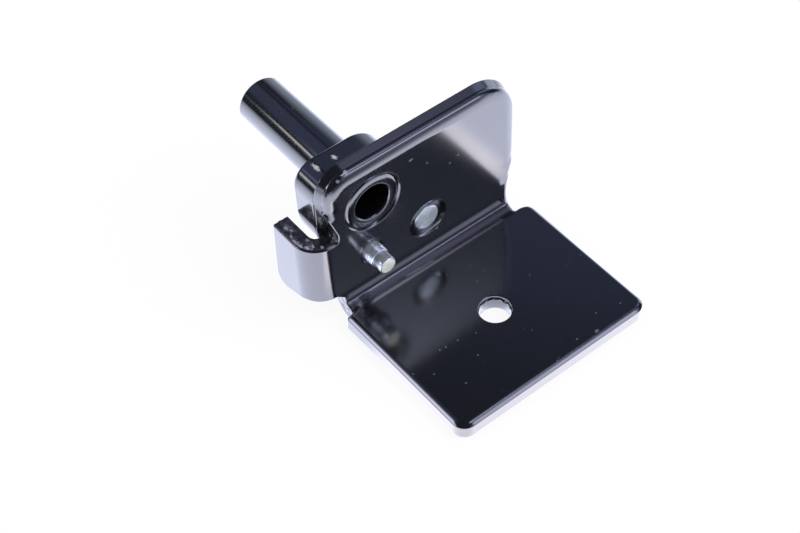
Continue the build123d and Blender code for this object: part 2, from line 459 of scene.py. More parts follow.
def nearest(points: Array, starts: Array, ends: Array, batch: int = 1500) -> tuple[Array, Array]:
    """The distance to the closest of some straight runs, and the direction away from it.

    Args:
        points: The places, as rows of (u, v).
        starts: Where the runs start.
        ends: Where they end.
        batch: How many places are worked out at once.

    Returns:
        The distances and the unit directions.
    """
    distance = np.empty(len(points))
    away = np.empty((len(points), 2))
    runs = ends - starts
    lengths = np.maximum((runs ** 2).sum(1), 1e-12)
    for first in range(0, len(points), batch):
        part = slice(first, first + batch)
        offset = points[part, None] - starts[None]
        share = np.clip((offset * runs[None]).sum(-1) / lengths[None], 0, 1)
        gap = offset - share[..., None] * runs[None]
        size = np.linalg.norm(gap, axis=-1)
        row, best = np.arange(len(gap)), size.argmin(1)
        distance[part] = size[row, best]
        away[part] = unit(gap[row, best])
    return distance, away


def waves(places: Array) -> Array:
    """Smooth noise at rows of three numbers."""
    return np.array([noise.noise(Vector(place)) for place in places])


class Loop:
    """A closed outline as close points, with the material on its left."""

    def __init__(self, points: Array, edges: Sequence[Edge], wall: Sequence[Point] = (),
                 jag: float = 0.0) -> None:
        """Keeps the points and works out the directions into the material.

        Args:
            points: The outline's points.
            edges: The kind of edge from each point to the next.
            wall: How the side closes in on the way back, as (closing in, depth). Empty for a plain side.
            jag: How far the upper steps of that wall wander up and down.
        """
        self.points = points
        self.following = np.roll(points, -1, 0)
        self.edges = list(edges)
        self.wall = tuple(wall)
        self.jag = jag
        along = unit(self.following - points)
        sides = np.stack([-along[:, 1], along[:, 0]], 1)
        self.inward = unit(sides + np.roll(sides, 1, 0))
        self.taper = self.eased([edge.taper for edge in self.edges])
        self.ragged = self.eased([edge.ragged for edge in self.edges])

    def eased(self, numbers: Sequence[float], reach: float = 1.0) -> Array:
        """Evens out numbers along the loop.

        Args:
            numbers: One for each point.
            reach: How far their neighbours lie.

        Returns:
            Each number's mean with those within reach of it.
        """
        gaps = np.linalg.norm(self.points[:, None] - self.points[None], axis=-1)
        near = gaps < reach
        return (near * np.array(numbers)[None]).sum(1) / near.sum(1)

    def kinds(self) -> list[tuple[Edge, list[int]]]:
        """Each kind of edge with the numbers of its runs."""
        return [(edge, [k for k, other in enumerate(self.edges) if other is edge])
                for edge in dict.fromkeys(self.edges)]

    def nearest(self, points: Array, runs: Sequence[int] | slice = slice(None)) -> tuple[Array, Array]:
        """The distance to the closest of these runs or of all, and the direction away from it."""
        return nearest(points, self.points[runs], self.following[runs])


@dataclass(frozen=True)
class Hole:
    """A round hole, and how its side closes in on the way back, as (closing in, depth)."""

    u: float
    v: float
    radius: float
    edge: Edge
    count: int
    wall: tuple[Point, ...] = ()
    jag: float = 0.0

    def ring(self, v: float) -> Loop:
        """Makes the hole's outline, with the material outside it.

        Args:
            v: The centre's place along the flat sheet.

        Returns:
            The loop.
        """
        turn = -np.arange(self.count) * math.tau / self.count
        points = np.stack([self.u + self.radius * np.cos(turn), v + self.radius * np.sin(turn)], 1)
        return Loop(points, [self.edge] * self.count, self.wall, self.jag)


def turned(vector: Array, angle: float) -> Array:
    """A flat vector turned by an angle in radians."""
    c, s = math.cos(angle), math.sin(angle)
    return np.array((c * vector[0] - s * vector[1], s * vector[0] + c * vector[1]))


def rounded(corners: Sequence[Corner], step: float = 0.6, torn_step: float = 0.25) -> Loop:
    """Rounds the corners of an outline that runs with the material on its left.

    Args:
        corners: The outline's corners in order.
        step: The longest gap between points.
        torn_step: The longest gap along a torn edge.

    Returns:
        The loop.
    """
    spots = [np.array((c.u, c.v)) for c in corners]
    arcs = []
    for index, corner in enumerate(corners):
        here = spots[index]
        before = unit(here - spots[index - 1])
        after = unit(spots[(index + 1) % len(spots)] - here)
        turn = math.atan2(before[0] * after[1] - before[1] * after[0], float(before @ after))
        if corner.radius == 0 or abs(turn) < 0.02:
            arcs.append([here])
            continue
        start = here - before * corner.radius * math.tan(abs(turn) / 2)
        centre = start + np.array((-before[1], before[0])) * math.copysign(corner.radius, turn)
        count = max(3, math.ceil(abs(turn) / math.radians(9)), math.ceil(abs(turn) * corner.radius / step))
        arcs.append([centre + turned(start - centre, turn * k / count) for k in range(count + 1)])
    points, edges = [], []
    for index, corner in enumerate(corners):
        bend, following = arcs[index], arcs[(index + 1) % len(arcs)]
        points += bend
        edges += [corners[index - 1].edge if k < len(bend) // 2 else corner.edge for k in range(len(bend))]
        gap = following[0] - bend[-1]
        count = math.ceil(float(np.linalg.norm(gap)) / (torn_step if corner.edge.ragged else step))
        points += [bend[-1] + gap * k / count for k in range(1, count)]
        edges += [corner.edge] * (count - 1)
    return Loop(np.array(points), edges)


def arc_to(begin: Array, heading: Array, end: Array, count: int = 12) -> tuple[list[Array], Array]:
    """Draws the arc that leaves one point in a given direction and ends at another.

    Args:
        begin: Where it starts.
        heading: Its direction there.
        end: Where it ends.
        count: The number of its steps.

    Returns:
        Its points, the first one among them, and its direction at the end.
    """
    chord = end - begin
    side = np.array((-heading[1], heading[0]))
    radius = float(chord @ chord) / (2 * float(chord @ side))
    centre = begin + side * radius
    first, last = (math.atan2(*(point - centre)[::-1]) for point in (begin, end))
    sweep = (last - first + math.pi) % math.tau - math.pi
    angles = first + sweep * np.arange(count + 1) / count
    arms = [np.array((math.cos(angle), math.sin(angle))) for angle in angles]
    return [centre + abs(radius) * arm for arm in arms], turned(heading, sweep)


def triangles(outlines: Sequence[Array], free: Array) -> tuple[Array, Array]:
    """Triangulates the area inside the first outline and outside the others.

    Args:
        outlines: Closed outlines.
        free: More points inside the area.

    Returns:
        All the points, the outlines' first, and triangles as rows of three indices.
    """
    points = np.concatenate([*outlines, free])
    runs, first = [], 0
    for outline in outlines:
        count = len(outline)
        runs += [(first + k, first + (k + 1) % count) for k in range(count)]
        first += count
    _, _, faces, origins, _, _ = delaunay_2d_cdt([Vector(p) for p in points], runs, [], 0, 1e-6)
    faces = np.array([[origins[k][0] for k in face] for face in faces])
    return points, faces[within(points[faces].mean(1), outlines)]


def new_piece(name: str, places: Array, faces: Sequence[Sequence[int]], slots: Sequence[int],
              materials: Sequence[bpy.types.Material]) -> bpy.types.Object:
    """Makes an object with a smooth mesh.

    Args:
        name: The piece's name.
        places: Its vertices, in drawing millimetres.
        faces: The vertices of each face.
        slots: The material slot of each face.
        materials: The materials of its slots.

    Returns:
        The object, in metres in the frame's place.
    """
    mesh = bpy.data.meshes.new(name)
    mesh.from_pydata(((places + SHIFT) * MM).tolist(), [], faces)
    mesh.polygons.foreach_set("use_smooth", [True] * len(faces))
    mesh.polygons.foreach_set("material_index", slots)
    for material in materials:
        mesh.materials.append(material)
    made = bpy.data.objects.new(name, mesh)
    bpy.context.scene.collection.objects.link(made)
    return made


class Skin:
    """Gathers faces with their own corner normals, and makes one mesh of them."""

    def __init__(self) -> None:
        """Starts empty."""
        self.places = np.empty((0, 3))
        self.faces: list[tuple[int, ...]] = []
        self.normals: list[Array] = []
        self.slots: list[int] = []

    def add_places(self, places: Array) -> int:
        """Adds vertices, and gives the first one's index."""
        self.places = np.concatenate([self.places, places])
        return len(self.places) - len(places)

    def add_faces(self, faces: Array, normals: Array, slot: int) -> None:
        """Adds faces.

        Args:
            faces: Rows of vertex indices.
            normals: A normal for each corner of each face.
            slot: The material slot.
        """
        if not len(faces):
            return
        first, second, third = (self.places[faces[:, k]] for k in range(3))
        facing = np.cross(second - first, third - first)
        wrong = (facing * normals.mean(1)).sum(1) < 0
        faces = np.where(wrong[:, None], faces[:, ::-1], faces)
        normals = np.where(wrong[:, None, None], normals[:, ::-1], normals)
        self.faces += faces.tolist()
        self.normals += list(normals.reshape(-1, 3))
        self.slots += [slot] * len(faces)

    def piece(self, name: str, materials: Sequence[bpy.types.Material]) -> bpy.types.Object:
        """Makes the object.

        Args:
            name: The piece's name.
            materials: The materials of its slots.

        Returns:
            The object.
        """
        made = new_piece(name, self.places, self.faces, self.slots, materials)
        made.data.normals_split_custom_set([tuple(n) for n in unit(np.array(self.normals))])
        return made


@dataclass
class Slab:
    """A flat or folded sheet with rounded front edges and holes.

    Its grid is finer in some bands, as (start, end, step). A torn side wanders in waves of (how many to the
    millimetre along it, how many down it, height).
    """

    thickness: float
    outline: Loop
    holes: Sequence[Loop]
    fold: Fold
    back_round: float = 0.12
    fine_columns: Sequence[Triple] = ()
    fine_rows: Sequence[Triple] = ()
    grid: float = 1.6
    grid_start: float = 0.3
    grid_gap: float = 0.2
    levels: int = 14
    ragged_waves: Sequence[Triple] = ((1.1, 0.9, 2.0), (2.6, 1.9, 1.0))
    jag_wave: float = 1.7

    @property
    def loops(self) -> list[Loop]:
        """The outline and the holes."""
        return [self.outline, *self.holes]

    def depths(self, points: Array) -> tuple[Array, Array, Array]:
        """How the front face falls away towards its edges.

        Args:
            points: Places on the flat sheet.

        Returns:
            Depth, tilt and the direction into the material, the deepest edge winning.
        """
        depth = np.zeros(len(points))
        tilt = np.zeros(len(points))
        away = np.tile((1.0, 0.0), (len(points), 1))
        for loop in self.loops:
            for edge, runs in loop.kinds():
                distance, direction = loop.nearest(points, runs)
                inset, drop = edge.profile()
                here = np.interp(distance, inset[::-1], drop[::-1])
                deeper = here > depth
                depth = np.where(deeper, here, depth)
                tilt = np.where(deeper, np.interp(distance, inset[::-1], ANGLES[::-1]), tilt)
                away = np.where(deeper[:, None], direction, away)
        return depth, tilt, away

    def grid_lines(self, axis: int, bands: Sequence[Triple]) -> list[float]:
        """The grid's lines across one axis.

        Args:
            axis: 0 for lines across u, 1 for lines across v.
            bands: Finer stretches, as (start, end, step).

        Returns:
            The lines' places, in order.
        """
        low, high = self.outline.points[:, axis].min(), self.outline.points[:, axis].max()
        lines = set(np.arange(low + self.grid_start, high, self.grid))
        for start, end, step in bands:
            lines = {line for line in lines if not start - self.grid_gap < line < end + self.grid_gap}
            lines |= set(np.arange(start, end + 1e-9, step))
        return sorted(lines)

    def grid_points(self) -> Array:
        """The grid's points, over the whole outline's box."""
        columns, rows = self.grid_lines(0, self.fine_columns), self.grid_lines(1, self.fine_rows)
        return np.array([(u, v) for u in columns for v in rows])

    def clear(self, points: Array, fronts: Sequence[Array], gridded: bool) -> Array:
        """Keeps the points that lie in the material and clear of the edges.

        Args:
            points: Places on the flat sheet.
            fronts: The front edges of the sides.
            gridded: True for points that must also keep off the rounded rims.

        Returns:
            The points that stay.
        """
        keep = within(points, fronts)
        for front in fronts:
            keep &= nearest(points, front, np.roll(front, -1, 0))[0] > 0.03
        for loop in self.loops:
            for edge, runs in loop.kinds():
                margin = edge.profile()[0][0] + self.grid_gap if gridded else edge.taper + 0.02
                keep &= loop.nearest(points, runs)[0] > margin
        return points[keep]

    def front_points(self, fronts: Sequence[Array]) -> Array:
        """Points on the front face: a grid, and rings along the edges.

        Args:
            fronts: The front edges of the sides.

        Returns:
            The points, on the flat sheet.
        """
        rings = []
        for loop in self.loops:
            insets = np.array([edge.profile()[0] for edge in loop.edges])
            for reach in insets.T[:-1]:
                ring = loop.points + loop.inward * reach[:, None]
                own = np.ones(len(ring), bool)
                for _, runs in loop.kinds():
                    own[runs] = loop.nearest(ring[runs], runs)[0] > 0.97 * reach[runs]
                rings.append(ring[own])
        grid = self.clear(self.grid_points(), fronts, gridded=True)
        return np.concatenate([grid, self.clear(np.concatenate(rings), fronts, gridded=False)])

    def back_points(self) -> Array:
        """Points on the back face.

        Returns:
            The grid's points that keep off the edges.
        """
        grid = self.grid_points()
        keep = within(grid, [loop.points for loop in self.loops])
        for loop in self.loops:
            keep &= loop.nearest(grid)[0] > self.back_round + self.grid_gap
        return grid[keep]

    def placed(self, flat: Array, depth: Array | float, normals: Array) -> tuple[Array, Array]:
        """Folds places and normals that are given on the flat sheet."""
        return self.fold(np.column_stack([flat, np.broadcast_to(depth, len(flat))]), normals)

    def build(self, skin: Skin, side_slot: int) -> None:
        """Adds the front face, the back face and the sides to a skin.

        Args:
            skin: Where the faces go.
            side_slot: The slot of the torn sides. All else has slot 0.
        """
        fronts = [loop.points + loop.inward * loop.taper[:, None] for loop in self.loops]
        points, faces = triangles(fronts, self.front_points(fronts))
        depth, tilt, away = self.depths(points)
        edge = sum(len(front) for front in fronts)
        away[:edge] = np.concatenate([loop.inward for loop in self.loops])
        tilt[:edge] = math.pi / 2
        normals = np.column_stack([-away * np.sin(tilt)[:, None], -np.cos(tilt)])
        places, normals = self.placed(points, depth, normals)
        start = skin.add_places(places)
        skin.add_faces(faces + start, normals[faces], 0)

        back, faces = triangles([self.rim(loop) for loop in self.loops], self.back_points())
        places, normals = self.placed(back, self.thickness, np.tile((0.0, 0.0, 1.0), (len(back), 1)))
        end = skin.add_places(places)
        skin.add_faces(faces + end, normals[faces], 0)

        first = 0
        for loop, front in zip(self.loops, fronts):
            rows = self.side_rows(loop, front, depth[first:first + len(front)])
            self.side(skin, loop, rows, start + first, end + first, side_slot)
            first += len(front)

    def rim(self, loop: Loop) -> Array:
        """Where a side meets the back face."""
        closing = loop.wall[-1][0] if loop.wall else 0.0
        return loop.points + loop.inward * (self.back_round - closing)

    def side_rows(self, loop: Loop, front: Array, depth: Array) -> list[tuple[Array, Array | float]]:
        """The lines that a side runs through from its front edge to its back edge.

        Args:
            loop: The outline.
            front: The front edge on the flat sheet.
            depth: The depth of that edge.

        Returns:
            Places on the flat sheet and their depth, for each line.
        """
        floor = self.thickness - self.back_round
        rows = [(front, depth)]
        wave = waves(np.column_stack([self.jag_wave * loop.points, np.full(len(front), 0.4)]))
        for closing, low in loop.wall:
            rows.append((loop.points - loop.inward * closing, low + wave * loop.jag * (0.5 < low < 1.5)))
        for level in range(1, 1 if loop.wall else self.levels + 1):
            share = level / self.levels
            flat = front * (1 - share) + loop.points * share
            low = depth * (1 - share) + floor * share
            spots = np.column_stack([loop.points, low])
            wander = sum(height * waves(spots * (along, along, down))
                         for along, down, height in self.ragged_waves)
            bulge = math.sin(math.pi * min(share, 0.9) / 0.9) * loop.ragged
            rows.append((flat - loop.inward * (bulge * wander)[:, None], low))
        rim, half = self.rim(loop), self.back_round * math.sqrt(0.5)
        return rows + [(rim - loop.inward * half, floor + half), (rim, self.thickness)]

    def side(self, skin: Skin, loop: Loop, rows: Sequence[tuple[Array, Array | float]], start: int, end: int,
             slot: int) -> None:
        """Adds the strip of one side from its front edge to its back edge.

        Args:
            skin: Where the faces go.
            loop: The outline.
            rows: The lines that the side runs through.
            start: The index of the front edge's first vertex.
            end: The index of the back edge's first vertex.
            slot: The material slot of its torn stretches.
        """
        count = len(loop.points)
        numbers = np.arange(count)
        flat_out = np.column_stack([-loop.inward, np.zeros(count)])
        lines = [self.placed(flat, depth, flat_out)[0] for flat, depth in rows]
        firsts = [start, *(skin.add_places(line) for line in lines[1:-1]), end]
        outward = self.placed(loop.points, self.thickness / 2, flat_out)[1]
        ahead = self.placed(loop.points, 0.0, np.tile((0.0, 0.0, -1.0), (count, 1)))[1]
        strips = [self.placed(*rows[0], flat_out)[1]]
        for upper, lower in zip(lines, lines[1:]):
            along = np.roll(upper + lower, -1, 0) - np.roll(upper + lower, 1, 0)
            strip = unit(np.cross(along, lower - upper))
            facing = (strip * (outward + 0.5 * ahead)).sum(-1, keepdims=True)
            strips.append(np.where(facing < 0, -strip, strip))
        strips.append(-ahead)
        step = np.roll(numbers, -1)
        torn = loop.ragged > 0.01
        for k in range(len(lines) - 1):
            top = blended(strips[k], strips[k + 1])
            low = blended(strips[k + 1], strips[k + 2])
            upper, lower = firsts[k] + numbers, firsts[k + 1] + numbers
            faces = np.stack([upper, upper[step], lower[step], lower], 1)
            corners = np.stack([top, top[step], low[step], low], 1)
            skin.add_faces(faces[torn], corners[torn], slot)
            skin.add_faces(faces[~torn], corners[~torn], 0)


@dataclass
class Turned:
    """A closed section of (radius, y) turned round an axis along y."""

    centre: Point
    section: Sequence[Point]
    segments: int
    crease: float = 32.0

    def piece(self, name: str, materials: Sequence[bpy.types.Material],
              slots: Sequence[int] | None = None) -> bpy.types.Object:
        """Makes the object.

        Args:
            name: The piece's name.
            materials: Its materials.
            slots: The material slot of each run of the section.

        Returns:
            The object.
        """
        places, faces, indices, rings = [], [], [], []
        for radius, y in self.section:
            count = self.segments if radius else 1
            rings.append([len(places) + k for k in range(count)])
            for turn in (math.tau * k / self.segments for k in range(count)):
                places.append((self.centre[0] + radius * math.cos(turn), y,
                               self.centre[1] + radius * math.sin(turn)))
        for number, upper in enumerate(rings):
            lower = rings[(number + 1) % len(rings)]
            if len(upper) == len(lower) == 1:
                continue
            for k in range(self.segments):
                ends = (k, (k + 1) % self.segments)
                corners = [upper[n % len(upper)] for n in ends]
                corners += [lower[n % len(lower)] for n in reversed(ends)]
                faces.append(tuple(dict.fromkeys(corners)))
                indices.append(slots[number] if slots else 0)
        made = new_piece(name, np.array(places), faces, indices, materials)
        made.data.set_sharp_from_angle(angle=math.radians(self.crease))
        return made


def arc(centre: Point, radius: float, start: float, end: float, count: int = 6) -> list[Point]:
    """Points on an arc of a section, its angles in degrees from the radius's axis towards y."""
    turns = np.radians(np.linspace(start, end, count + 1))
    return [(centre[0] + radius * math.cos(t), centre[1] + radius * math.sin(t)) for t in turns]


# The hinge's pieces

def seat(piece: bpy.types.Object, node: str, slot: str) -> None:
    """Puts a finished piece in a node's place.

    Args:
        piece: The piece.
        node: The node that it stands for.
        slot: Not used.
    """
    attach(piece, "root")
    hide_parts(node)
    log.info("%s: %d faces", piece.name, len(piece.data.polygons))


@dataclass
class Bracket:
    """The folded sheet: plate, bend, flange and curled hook."""

    sheet: float = 3.0
    bend_radius: float = 1.0
    plate_width: float = 41.0
    plate_depth: float = 32.4
    plate_corner: float = 2.4
    rear_corner: float = 2.5
    side_corner: float = 1.1
    crease_radius: float = 0.25
    crease_turn: float = 63.0
    sweep_radius: float = 5.3
    bend_left: float = 1.45
    bend_right: float = 38.1
    bend_corner: float = 0.35
    bend_bands: tuple[Triple, ...] = ((-1.8, 2.9, 0.25), (2.95, 3.95, 0.04))
    flange_left: float = -0.9
    flange_right: float = 39.55
    flange_top: float = 33.7
    left_corner: float = 5.0
    right_corner: float = 8.2
    neck_start: float = 17.0
    neck_turn: Point = (38.5, 10.5)
    neck_eases: float = 10.0
    neck_widens: float = 14.0
    hook_line: float = -0.25
    hook_radius: float = 1.5
    hook_top: float = 19.4
    hook_bottom: float = 6.5
    hook_length: float = 10.4
    hook_corner: float = 2.4
    hook_lean: float = math.tan(math.radians(3.2))
    hook_slope: float = math.tan(math.radians(15.4))
    hook_steps: Triple = (7.6, 0.4, -0.4)
    curl_above: float = 0.8
    curl_step: float = 0.3
    notch_top: float = 27.0
    notch_depth: float = 1.2
    notch_slope: float = 1.6
    root: Point = (1.25, 5.3)
    root_foot: float = 4.0
    screw_hole: Hole = Hole(
        *SCREW, 2.9, Edge.SHARP, 96, ((0.02, 0.88), (0.15, 0.94), (0.16, 1.05), (0.24, 2.9)), 0.45)
    pin_seat: Hole = Hole(
        *PIN, 5.7, Edge.EASED, 96, (
            (0.12, 0.16), (0.26, 0.36), (0.3, 0.6), (0.3, 1.0), (0.48, 1.1), (0.48, 2.9)))
    rivet_dish: Hole = Hole(
        *RIVET, 3.85, Edge.EASED, 72, (
            (0.12, 0.13), (0.45, 0.3), (0.8, 0.4), (1.1, 0.45), (1.37, 0.5), (1.38, 2.9)))
    stud_hole: Hole = Hole(
        *STUD, 2.35, Edge.SHARP, 48, ((0.04, 0.32), (0.1, 0.35), (0.55, 0.35), (0.58, 0.4), (0.58, 2.9)))

    @property
    def bend_length(self) -> float:
        """The bend's length along the middle of the sheet."""
        return (self.bend_radius + self.sheet / 2) * math.pi / 2

    @property
    def curl_length(self) -> float:
        """The curl's length along the middle of the sheet."""
        return (self.hook_radius + self.sheet / 2) * math.pi / 2

    @property
    def hook_outer(self) -> float:
        """The curl's outer radius."""
        return self.hook_radius + self.sheet

    def up(self, z: float) -> float:
        """A height on the flange as a distance along the flat sheet."""
        return z - (self.sheet + self.bend_radius) + self.bend_length

    def fold(self, flat: Array, normals: Array) -> tuple[Array, Array]:
        """Folds the flat sheet.

        Args:
            flat: Rows of place across, place along and depth below the front face.
            normals: Rows of the same three directions.

        Returns:
            Places and normals in the drawing.
        """
        u, v, w = flat.T
        sheet, inner, outer = self.sheet, self.bend_radius, self.bend_radius + self.sheet
        front_y, front_z, front_turn = self.bend_face(v)
        back_turn = np.clip(v, 0, self.bend_length) / (inner + sheet / 2)
        on_flange = v > self.bend_length
        back_y = np.where(v < 0, v - inner, -inner + outer * np.sin(back_turn))
        back_y = np.where(on_flange, sheet, back_y)
        back_z = np.where(v < 0, 0.0, outer - outer * np.cos(back_turn))
        back_z = np.where(on_flange, v - self.bend_length + outer, back_z)
        share = w / sheet
        y = front_y + (back_y - front_y) * share
        z = front_z + (back_z - front_z) * share
        turn = front_turn + (back_turn - front_turn) * share
        zeros = np.zeros(len(u))
        across = np.tile((1.0, 0.0, 0.0), (len(u), 1))
        along = np.column_stack([zeros, np.cos(turn), np.sin(turn)])
        below = np.column_stack([zeros, np.sin(turn), -np.cos(turn)])

        past = np.where(v < self.up(self.hook_top + self.curl_above), np.maximum(self.hook_line - u, 0), 0)
        curl = np.minimum(past, self.curl_length) / (self.hook_radius + sheet / 2)
        arm = self.hook_outer - w
        on_hook = past > 0
        x = np.where(on_hook, self.hook_line - arm * np.sin(curl), u)
        straight = np.maximum(past - self.curl_length, 0)
        y = np.where(on_hook, self.hook_outer - arm * np.cos(curl) + straight, y)
        across = np.where(on_hook[:, None], np.column_stack([np.cos(curl), -np.sin(curl), zeros]), across)
        below = np.where(on_hook[:, None], np.column_stack([np.sin(curl), np.cos(curl), zeros]), below)
        folded = normals[:, :1] * across + normals[:, 1:2] * along + normals[:, 2:] * below
        return np.column_stack([x, y, z]), folded

    def bend_face(self, v: Array) -> tuple[Array, Array, Array]:
        """The front face of plate, bend and flange: a tight crease under the flange, then a wide sweep.

        Args:
            v: Places along the flat sheet.

        Returns:
            y, z and the face's turn from the plate's, in radians.
        """
        half = math.radians(self.crease_turn)
        rest = math.pi / 2 - half
        top = self.sheet + self.crease_radius * math.sin(half) + self.sweep_radius * (1 - math.sin(half))
        reach = self.crease_radius * (1 - math.cos(half)) + self.sweep_radius * math.cos(half)
        first = self.bend_radius - reach
        lengths = (self.sweep_radius * rest, self.crease_radius * half, self.sheet + self.bend_radius - top)
        path = (v - first) / (self.bend_length - first) * sum(lengths)
        sweep = np.clip(path / self.sweep_radius, 0, rest)
        crease = np.clip((path - lengths[0]) / self.crease_radius, 0, half)
        straight = np.maximum(path - lengths[0] - lengths[1], 0)
        y = -reach + self.sweep_radius * np.sin(sweep)
        y = y + self.crease_radius * (np.sin(rest + crease) - math.sin(rest))
        z = self.sheet + self.sweep_radius * (1 - np.cos(sweep))
        z = z + self.crease_radius * (math.cos(rest) - np.cos(rest + crease)) + straight
        y = np.where(v < first, v - self.bend_radius, y)
        on_flange = v > self.bend_length
        z = np.where(on_flange, v - self.bend_length + self.sheet + self.bend_radius, z)
        return np.where(on_flange, 0.0, y), z, sweep + crease

    def neck(self) -> list[Point]:
        """The right side's double curve.

        Returns:
            Its points on the flat sheet, from the bend up to the straight side.
        """
        points = [np.array((self.flange_right, self.neck_start))]
        heading = np.array((0.0, -1.0))
        for end in (self.neck_turn, (self.bend_right, self.sheet + self.bend_radius)):
            curve, heading = arc_to(points[-1], heading, np.array(end))
            points += curve[1:]
        return [(float(p[0]), self.up(float(p[1]))) for p in reversed(points)]

    def neck_edge(self, v: float) -> Edge:
        """The kind of edge at a place up the neck, wider towards the top."""
        return Edge.NECK if v < self.up(self.neck_eases) else (
            Edge.EASY if v < self.up(self.neck_widens) else Edge.WIDE)

    def hook_edge(self, past: float) -> Point:
        """The hook's lower edge, which slopes down from the curl.

        Args:
            past: How far past the hook's line.

        Returns:
            The edge's point there, on the flat sheet.
        """
        curl = min(past, self.curl_length) / (self.hook_radius + self.sheet / 2)
        y = self.hook_outer - self.hook_outer * math.cos(curl) + max(past - self.curl_length, 0)
        z = self.hook_bottom - max(y - self.sheet, 0) * self.hook_slope
        return self.hook_line - past, self.up(z)

    def outline(self) -> Loop:
        """The whole sheet's outline on the flat.

        Returns:
            The loop, from the plate's front left corner round by the right.
        """
        rear = 0.0
        front = -(self.plate_depth - self.bend_radius)
        top, hook_top = self.up(self.flange_top), self.up(self.hook_top)
        tip = self.hook_length + self.curl_length - self.hook_outer
        hook_height = self.hook_top - self.hook_bottom + self.hook_length * self.hook_slope
        low = tip + hook_height * self.hook_lean
        return rounded([
            Corner(0, front, self.plate_corner, Edge.ROLLED),
            Corner(self.plate_width, front, self.plate_corner, Edge.ROLLED),
            Corner(self.plate_width, rear, self.rear_corner, Edge.ROLLED),
            Corner(self.bend_right, rear, self.bend_corner, Edge.NECK),
            *(Corner(u, v, 0, self.neck_edge(v)) for u, v in self.neck()),
            Corner(self.flange_right, top, self.right_corner, Edge.WIDE),
            Corner(self.flange_left, top, self.left_corner, Edge.WIDE),
            Corner(self.flange_left, self.up(self.notch_top), 0.8, Edge.TORN),
            Corner(self.notch_depth, hook_top + self.notch_slope, 0.6, Edge.TORN),
            Corner(self.notch_depth, hook_top, 0.8, Edge.RIM),
            Corner(self.hook_line - tip, hook_top, 0.3, Edge.RIM),
            Corner(*self.hook_edge(low), self.hook_corner, Edge.RIM),
            *(Corner(*self.hook_edge(past), 0, Edge.RIM) for past in np.arange(*self.hook_steps)),
            Corner(self.hook_line, self.up(self.hook_bottom), 0.4, Edge.TORN),
            Corner(self.root[0], self.up(self.root[1]), 0.4, Edge.TORN),
            Corner(self.bend_left, self.up(self.root_foot), 0.3, Edge.TORN),
            Corner(self.bend_left, rear, 0.15, Edge.ROLLED),
            Corner(0, rear, self.side_corner, Edge.ROLLED),
        ])

    def build(self, paint: bpy.types.Material, torn: bpy.types.Material) -> bpy.types.Object:
        """Makes the bracket.

        Args:
            paint: The paint of its faces.
            torn: The paint of its torn sides.

        Returns:
            The piece.
        """
        holes = [self.screw_hole.ring(self.screw_hole.v + self.bend_radius)]
        holes += [hole.ring(self.up(hole.v)) for hole in (self.pin_seat, self.rivet_dish, self.stud_hole)]
        step = self.curl_step
        curl_band = (self.hook_line - self.curl_length - step, self.hook_line + step, step)
        skin = Skin()
        Slab(self.sheet, self.outline(), holes, self.fold, fine_columns=[curl_band],
             fine_rows=self.bend_bands).build(skin, 1)
        return skin.piece("bracket_sheet", [paint, torn])


@dataclass
class Block:
    """The thick block behind the flange, with a lobe to the right that holds the rivet."""

    front: float = 3.0
    thickness: float = 6.0
    left: float = -0.9
    right: float = 16.1
    top: float = 31.2
    foot: float = 7.0
    foot_left: float = 4.8
    foot_corner: float = 1.5
    lobe_right: float = 25.1
    lobe_corner: float = 3.4
    shoulder: float = 23.55
    shoulder_corner: float = 0.6
    right_corner: float = 5.8
    left_corner: float = 4.0
    curve_start: float = 22.5
    curve_end: Point = (1.6, 13.2)
    back_round: float = 0.35
    pin_seat: Hole = Hole(*PIN, 5.22, Edge.SHARP, 96)

    def fold(self, flat: Array, normals: Array) -> tuple[Array, Array]:
        """Stands the flat block up, its rounded rim at the back.

        Args:
            flat: Rows of place across, place up and depth below the back face.
            normals: Rows of the same three directions.

        Returns:
            Places and normals in the drawing.
        """
        back = self.front + self.thickness
        places = np.column_stack([flat[:, 0], back - flat[:, 2], flat[:, 1]])
        return places, np.column_stack([normals[:, 0], -normals[:, 2], normals[:, 1]])

    def outline(self) -> Loop:
        """The block's outline, across and up.

        Returns:
            The loop, from its lower left corner round by the right.
        """
        start = np.array((self.left, self.curve_start))
        curve, _ = arc_to(start, np.array((0.0, -1.0)), np.array(self.curve_end))
        return rounded([
            Corner(self.foot_left, self.foot, self.foot_corner, Edge.SOFT),
            Corner(self.lobe_right, self.foot, self.lobe_corner, Edge.SOFT),
            Corner(self.lobe_right, RIVET[1], self.lobe_corner, Edge.SOFT),
            Corner(self.right, self.shoulder, self.shoulder_corner, Edge.SOFT),
            Corner(self.right, self.top, self.right_corner, Edge.SOFT),
            Corner(self.left, self.top, self.left_corner, Edge.SOFT),
            *(Corner(u, v, 0, Edge.SOFT) for u, v in curve),
        ])

    def build(self, paint: bpy.types.Material) -> bpy.types.Object:
        """Makes the block.

        Args:
            paint: Its paint.

        Returns:
            The piece.
        """
        skin = Skin()
        holes = [self.pin_seat.ring(self.pin_seat.v)]
        Slab(self.thickness, self.outline(), holes, self.fold, self.back_round).build(skin, 0)
        return skin.piece("backing_block_body", [paint])


